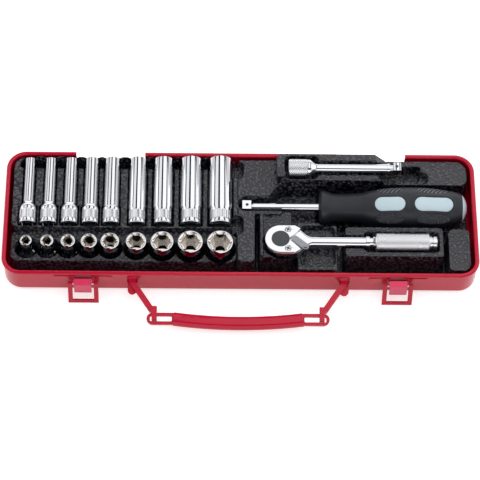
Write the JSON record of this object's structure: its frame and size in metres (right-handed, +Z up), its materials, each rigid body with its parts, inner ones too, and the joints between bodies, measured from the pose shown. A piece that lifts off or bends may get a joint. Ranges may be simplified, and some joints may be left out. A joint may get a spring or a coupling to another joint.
{
  "type": "socket wrench set in case",
  "caption": "Socket wrench set in an open red steel case: deep and standard sockets, extension bar, spinner handle and reversible ratchet in a black formed tray.",
  "frame": {"origin": "middle of the case's flat underside", "axes": "+X along the case towards the spinner's grip, +Y towards the hinge side, +Z up out of the case"},
  "size_m": [0.312, 0.1249, 0.034],
  "materials": {
    "enamel_red": "glossy baked enamel",
    "tray_black": "leather grained",
    "bright_steel": "plain",
    "tool_chrome": "polished chrome plate",
    "dark_steel": "black oxide",
    "grip_rubber": "matte soft grip",
    "inlay_plastic": "smooth, unmarked"
  },
  "bodies": {
    "case": {"case_pan": "enamel_red", "tool_tray": "tray_black", "latch_strap_left": "enamel_red", "latch_strap_right": "enamel_red", "latch_lever_pins": "bright_steel"},
    "handle": {"handle_grip": "enamel_red", "handle_link_left": "enamel_red", "handle_link_right": "enamel_red"},
    "latch_lever_left": {"latch_lever_left": "enamel_red", "latch_bail_pin_left": "bright_steel"},
    "latch_lever_right": {"latch_lever_right": "enamel_red", "latch_bail_pin_right": "bright_steel"},
    "latch_bail_left": {"latch_bail_left": "enamel_red"},
    "latch_bail_right": {"latch_bail_right": "enamel_red"},
    "extension": {"extension_bar": "tool_chrome", "extension_ball": "bright_steel"},
    "spinner": {"spinner_shaft": "tool_chrome", "spinner_ball": "bright_steel", "spinner_core": "inlay_plastic", "spinner_grip": "grip_rubber"},
    "ratchet": {"ratchet_body": "tool_chrome", "ratchet_cover": "tool_chrome", "ratchet_cover_screws": "bright_steel", "ratchet_sleeve": "tool_chrome", "ratchet_pawl": "dark_steel"},
    "ratchet_drive": {"ratchet_drive": "dark_steel", "ratchet_ball": "bright_steel"},
    "ratchet_reverse_lever": {"ratchet_reverse_lever": "dark_steel"},
    "deep_socket_05_0": {"deep_socket_05_0": "tool_chrome"},
    "socket_05_0": {"socket_05_0": "tool_chrome"},
    "deep_socket_05_5": {"deep_socket_05_5": "tool_chrome"},
    "socket_05_5": {"socket_05_5": "tool_chrome"},
    "deep_socket_06_0": {"deep_socket_06_0": "tool_chrome"},
    "socket_06_0": {"socket_06_0": "tool_chrome"},
    "deep_socket_07_0": {"deep_socket_07_0": "tool_chrome"},
    "socket_07_0": {"socket_07_0": "tool_chrome"},
    "deep_socket_08_0": {"deep_socket_08_0": "tool_chrome"},
    "socket_08_0": {"socket_08_0": "tool_chrome"},
    "deep_socket_09_0": {"deep_socket_09_0": "tool_chrome"},
    "socket_09_0": {"socket_09_0": "tool_chrome"},
    "deep_socket_10_0": {"deep_socket_10_0": "tool_chrome"},
    "socket_10_0": {"socket_10_0": "tool_chrome"},
    "deep_socket_11_0": {"deep_socket_11_0": "tool_chrome"},
    "socket_11_0": {"socket_11_0": "tool_chrome"},
    "deep_socket_12_0": {"deep_socket_12_0": "tool_chrome"},
    "socket_12_0": {"socket_12_0": "tool_chrome"}
  },
  "joints": [
    {"name": "handle_swing", "type": "hinge", "parent": "case", "child": "handle", "pos_m": [-0.0015, -0.0434, 0.01323], "axis": [-1, 0, 0], "range_deg": [0, 45]},
    {"name": "latch_lever_left_turn", "type": "hinge", "parent": "case", "child": "latch_lever_left", "pos_m": [-0.1026, -0.0488, 0.0184], "axis": [-1, 0, 0], "range_deg": [0, 60]},
    {"name": "latch_bail_left_swing", "type": "hinge", "parent": "latch_lever_left", "child": "latch_bail_left", "pos_m": [-0.1026, -0.0497, 0.0162], "axis": [-1, 0, 0], "range_deg": [0, 125]},
    {"name": "latch_lever_right_turn", "type": "hinge", "parent": "case", "child": "latch_lever_right", "pos_m": [0.1026, -0.0488, 0.0184], "axis": [-1, 0, 0], "range_deg": [0, 60]},
    {"name": "latch_bail_right_swing", "type": "hinge", "parent": "latch_lever_right", "child": "latch_bail_right", "pos_m": [0.1026, -0.0497, 0.0162], "axis": [-1, 0, 0], "range_deg": [0, 125]},
    {"name": "deep_socket_05_0_lift", "type": "slide", "parent": "case", "child": "deep_socket_05_0", "axis": [0, 0, 1], "range_m": [0, 0.03]},
    {"name": "deep_socket_05_5_lift", "type": "slide", "parent": "case", "child": "deep_socket_05_5", "axis": [0, 0, 1], "range_m": [0, 0.03]},
    {"name": "deep_socket_06_0_lift", "type": "slide", "parent": "case", "child": "deep_socket_06_0", "axis": [0, 0, 1], "range_m": [0, 0.03]},
    {"name": "deep_socket_07_0_lift", "type": "slide", "parent": "case", "child": "deep_socket_07_0", "axis": [0, 0, 1], "range_m": [0, 0.03]},
    {"name": "deep_socket_08_0_lift", "type": "slide", "parent": "case", "child": "deep_socket_08_0", "axis": [0, 0, 1], "range_m": [0, 0.03]},
    {"name": "deep_socket_09_0_lift", "type": "slide", "parent": "case", "child": "deep_socket_09_0", "axis": [0, 0, 1], "range_m": [0, 0.03]},
    {"name": "deep_socket_10_0_lift", "type": "slide", "parent": "case", "child": "deep_socket_10_0", "axis": [0, 0, 1], "range_m": [0, 0.03]},
    {"name": "deep_socket_11_0_lift", "type": "slide", "parent": "case", "child": "deep_socket_11_0", "axis": [0, 0, 1], "range_m": [0, 0.03]},
    {"name": "deep_socket_12_0_lift", "type": "slide", "parent": "case", "child": "deep_socket_12_0", "axis": [0, 0, 1], "range_m": [0, 0.03]},
    {"name": "socket_05_0_lift", "type": "slide", "parent": "case", "child": "socket_05_0", "axis": [0, 0, 1], "range_m": [0, 0.03]},
    {"name": "socket_05_5_lift", "type": "slide", "parent": "case", "child": "socket_05_5", "axis": [0, 0, 1], "range_m": [0, 0.03]},
    {"name": "socket_06_0_lift", "type": "slide", "parent": "case", "child": "socket_06_0", "axis": [0, 0, 1], "range_m": [0, 0.03]},
    {"name": "socket_07_0_lift", "type": "slide", "parent": "case", "child": "socket_07_0", "axis": [0, 0, 1], "range_m": [0, 0.03]},
    {"name": "socket_08_0_lift", "type": "slide", "parent": "case", "child": "socket_08_0", "axis": [0, 0, 1], "range_m": [0, 0.03]},
    {"name": "socket_09_0_lift", "type": "slide", "parent": "case", "child": "socket_09_0", "axis": [0, 0, 1], "range_m": [0, 0.03]},
    {"name": "socket_10_0_lift", "type": "slide", "parent": "case", "child": "socket_10_0", "axis": [0, 0, 1], "range_m": [0, 0.03]},
    {"name": "socket_11_0_lift", "type": "slide", "parent": "case", "child": "socket_11_0", "axis": [0, 0, 1], "range_m": [0, 0.03]},
    {"name": "socket_12_0_lift", "type": "slide", "parent": "case", "child": "socket_12_0", "axis": [0, 0, 1], "range_m": [0, 0.03]},
    {"name": "extension_lift", "type": "slide", "parent": "case", "child": "extension", "axis": [0, 0, 1], "range_m": [0, 0.03]},
    {"name": "spinner_lift", "type": "slide", "parent": "case", "child": "spinner", "axis": [0, 0, 1], "range_m": [0, 0.035]},
    {"name": "ratchet_lift", "type": "slide", "parent": "case", "child": "ratchet", "axis": [0, 0, 1], "range_m": [0, 0.035]},
    {"name": "ratchet_drive_turn", "type": "hinge", "parent": "ratchet", "child": "ratchet_drive", "pos_m": [0.026, -0.0204, 0.022], "axis": [0, 0, 1], "continuous": true},
    {"name": "ratchet_reverse_turn", "type": "hinge", "parent": "ratchet", "child": "ratchet_reverse_lever", "pos_m": [0.0353, -0.0204, 0.022], "axis": [0, 0, 1], "range_deg": [0, 80]}
  ]
}
